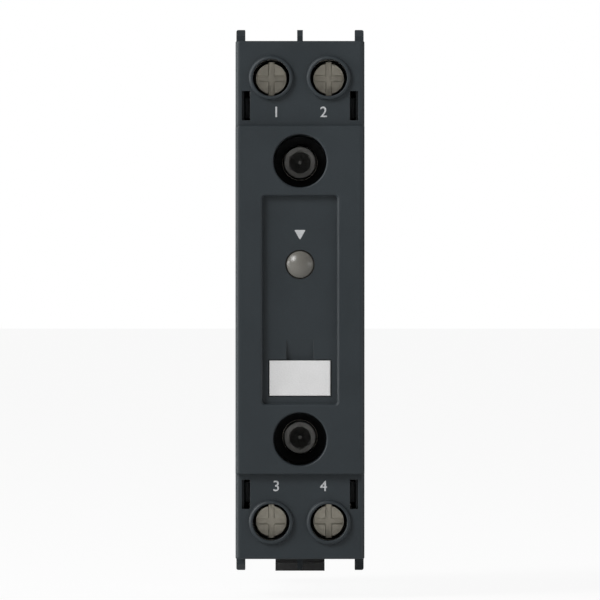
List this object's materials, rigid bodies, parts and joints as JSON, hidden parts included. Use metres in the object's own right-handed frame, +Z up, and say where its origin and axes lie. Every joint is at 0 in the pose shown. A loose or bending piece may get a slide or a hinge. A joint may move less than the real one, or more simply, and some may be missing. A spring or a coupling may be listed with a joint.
{
  "type": "solid state relay",
  "caption": "Slim rail-mounted solid state relay: dark module with box-clamp terminals, screw wells, status light and blank marker, on a finned heat sink with a sprung rail latch.",
  "frame": {"origin": "middle of the face of the foot that seats on the mounting rail's flanges", "axes": "+X to the right seen from the front, along the rail; +Y to the back, into the rail; +Z up"},
  "size_m": [0.0224, 0.1084, 0.0972],
  "materials": {
    "cover_plastic": "fine satin texture",
    "case_plastic": "fine satin texture",
    "lens": "frosted translucent grey",
    "led_resin": "diffused resin",
    "board_laminate": "green solder mask",
    "component_black": "moulded epoxy",
    "resistor_coat": "tan lacquer",
    "capacitor_case": "potted box",
    "varistor_coat": "epoxy dip",
    "substrate_ceramic": "white alumina",
    "chip_silicon": "passivated silicon",
    "bar_copper": "tinned copper strip",
    "pin_brass": "drawn pin",
    "plate_nickel": "nickel-plated copper",
    "pad_rubber": "thin gap pad",
    "module_screw_steel": "dull zinc",
    "washer_steel": "dull zinc",
    "sink_aluminium": "natural anodised extrusion",
    "foot_plastic": "glass-filled, fine texture",
    "foot_screw_steel": "bright zinc",
    "spring_steel": "drawn wire",
    "latch_plastic": "smooth",
    "marker_white": "smooth, blank",
    "terminal_screw_nickel": "warm nickel plate",
    "cage_steel": "zinc-plated"
  },
  "bodies": {
    "root": {"front_cover": "cover_plastic", "module_case": "case_plastic", "light_pipe": "lens", "status_led": "led_resin", "control_board": "board_laminate", "optocoupler": "component_black", "gate_resistors": "resistor_coat", "snubber_capacitor": "capacitor_case", "varistor": "varistor_coat", "control_bar_left": "bar_copper", "control_bar_right": "bar_copper", "load_bar_left": "bar_copper", "load_bar_right": "bar_copper", "power_substrate": "substrate_ceramic", "thyristor_chips": "chip_silicon", "chip_straps": "bar_copper", "gate_pins": "pin_brass", "base_plate": "plate_nickel", "thermal_pad": "pad_rubber", "module_screws": "module_screw_steel", "spring_washers": "washer_steel", "flat_washers": "washer_steel", "heat_sink": "sink_aluminium", "rail_foot": "foot_plastic", "rail_foot_screws": "foot_screw_steel", "latch_spring": "spring_steel"},
    "screw_1": {"terminal_screw_1": "terminal_screw_nickel"},
    "cage_1": {"clamp_cage_1": "cage_steel"},
    "screw_2": {"terminal_screw_2": "terminal_screw_nickel"},
    "cage_2": {"clamp_cage_2": "cage_steel"},
    "screw_3": {"terminal_screw_3": "terminal_screw_nickel"},
    "cage_3": {"clamp_cage_3": "cage_steel"},
    "screw_4": {"terminal_screw_4": "terminal_screw_nickel"},
    "cage_4": {"clamp_cage_4": "cage_steel"},
    "latch": {"rail_latch": "latch_plastic"},
    "marker": {"marker_plate": "marker_white"}
  },
  "joints": [
    {"name": "screw_turn_1", "type": "hinge", "parent": "root", "child": "screw_1", "pos_m": [-0.005, -0.0935, 0.0386], "axis": [0, 1, 0], "range_deg": [0, 2366]},
    {"name": "cage_rise_1", "type": "slide", "parent": "root", "child": "cage_1", "axis": [0, -1, 0], "range_m": [0, 0.0046]},
    {"name": "screw_turn_2", "type": "hinge", "parent": "root", "child": "screw_2", "pos_m": [0.005, -0.0935, 0.0386], "axis": [0, 1, 0], "range_deg": [0, 2366]},
    {"name": "cage_rise_2", "type": "slide", "parent": "root", "child": "cage_2", "axis": [0, -1, 0], "range_m": [0, 0.0046]},
    {"name": "screw_turn_3", "type": "hinge", "parent": "root", "child": "screw_3", "pos_m": [-0.005, -0.0935, -0.0386], "axis": [0, 1, 0], "range_deg": [0, 2366]},
    {"name": "cage_rise_3", "type": "slide", "parent": "root", "child": "cage_3", "axis": [0, -1, 0], "range_m": [0, 0.0046]},
    {"name": "screw_turn_4", "type": "hinge", "parent": "root", "child": "screw_4", "pos_m": [0.005, -0.0935, -0.0386], "axis": [0, 1, 0], "range_deg": [0, 2366]},
    {"name": "cage_rise_4", "type": "slide", "parent": "root", "child": "cage_4", "axis": [0, -1, 0], "range_m": [0, 0.0046]},
    {"name": "latch_slide", "type": "slide", "parent": "root", "child": "latch", "axis": [0, 0, -1], "range_m": [0, 0.003], "stiffness_N_per_m": 3000, "springref_m": -0.001, "deforming": ["latch_spring"]},
    {"name": "marker_pull", "type": "slide", "parent": "root", "child": "marker", "axis": [0, -1, 0], "range_m": [0, 0.005]}
  ],
  "couplings": [
    {"joint": "screw_turn_1", "follows": "cage_rise_1", "rad_per_m": 8976},
    {"joint": "screw_turn_2", "follows": "cage_rise_2", "rad_per_m": 8976},
    {"joint": "screw_turn_3", "follows": "cage_rise_3", "rad_per_m": 8976},
    {"joint": "screw_turn_4", "follows": "cage_rise_4", "rad_per_m": 8976}
  ]
}
